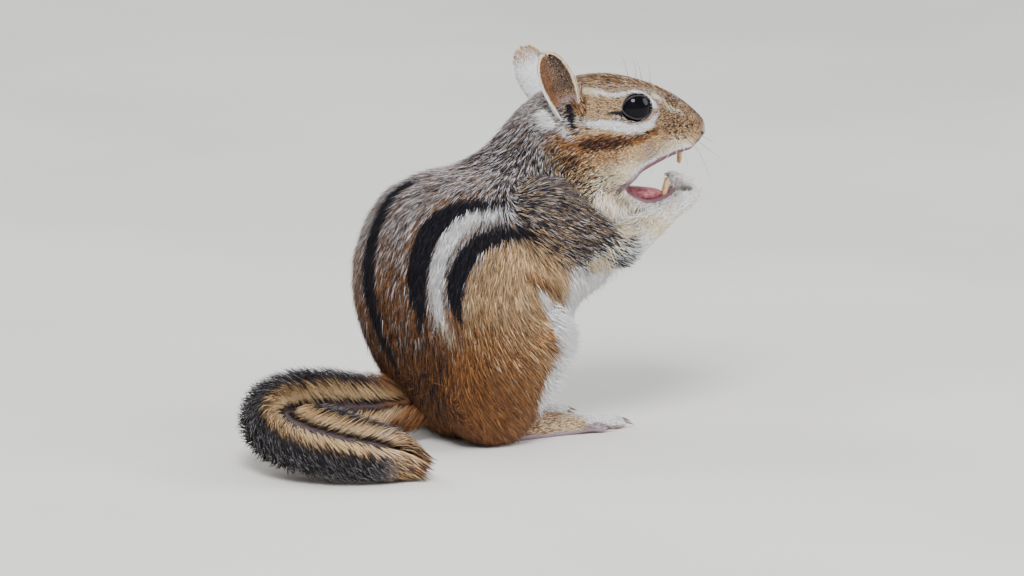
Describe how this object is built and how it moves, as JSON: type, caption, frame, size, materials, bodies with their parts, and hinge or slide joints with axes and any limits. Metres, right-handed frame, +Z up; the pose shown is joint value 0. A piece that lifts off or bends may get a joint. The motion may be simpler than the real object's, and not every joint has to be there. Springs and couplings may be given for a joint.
{
  "type": "sitting chipmunk figure",
  "caption": "Life-size still model of a chipmunk that sits up on its haunches with paws raised to its open mouth and its bushy tail curled beside it.",
  "frame": {"origin": "middle of the bounding box in X and Y, on the floor the animal sits on", "axes": "+X the way the animal faces, +Y its left, +Z up"},
  "size_m": [0.1322, 0.0716, 0.0959],
  "materials": {
    "head": "short fur, tawny with pale and dark facial stripes",
    "lower_jaw": "short cream fur",
    "incisors": "smooth yellow enamel",
    "tongue": "moist pink",
    "neck": "short dense grizzled fur",
    "torso": "short dense fur, grizzled brown-grey with dark and cream stripes",
    "eye": "wet glossy black",
    "ear": "thin skin with fine rufous hair, pale rim",
    "thigh": "short dense chestnut fur",
    "hind_foot": "very short buff fur, dark claws",
    "upper_arm": "short dense grizzled buff fur",
    "forearm": "short cream-buff fur",
    "hand": "very short pale grey fur, dark claws",
    "tail": "long bushy banded fur"
  },
  "bodies": {
    "root": {"head": "head", "lower_jaw": "lower_jaw", "incisors_upper": "incisors", "incisors_lower": "incisors", "tongue": "tongue", "neck": "neck", "torso": "torso", "eye_r": "eye", "eye_l": "eye", "ear_r": "ear", "ear_l": "ear", "thigh_r": "thigh", "thigh_l": "thigh", "hind_foot_r": "hind_foot", "hind_foot_l": "hind_foot", "upper_arm_r": "upper_arm", "upper_arm_l": "upper_arm", "forearm_r": "forearm", "forearm_l": "forearm", "hand_r": "hand", "hand_l": "hand", "tail_1": "tail", "tail_2": "tail", "tail_3": "tail", "tail_4": "tail"}
  },
  "joints": []
}
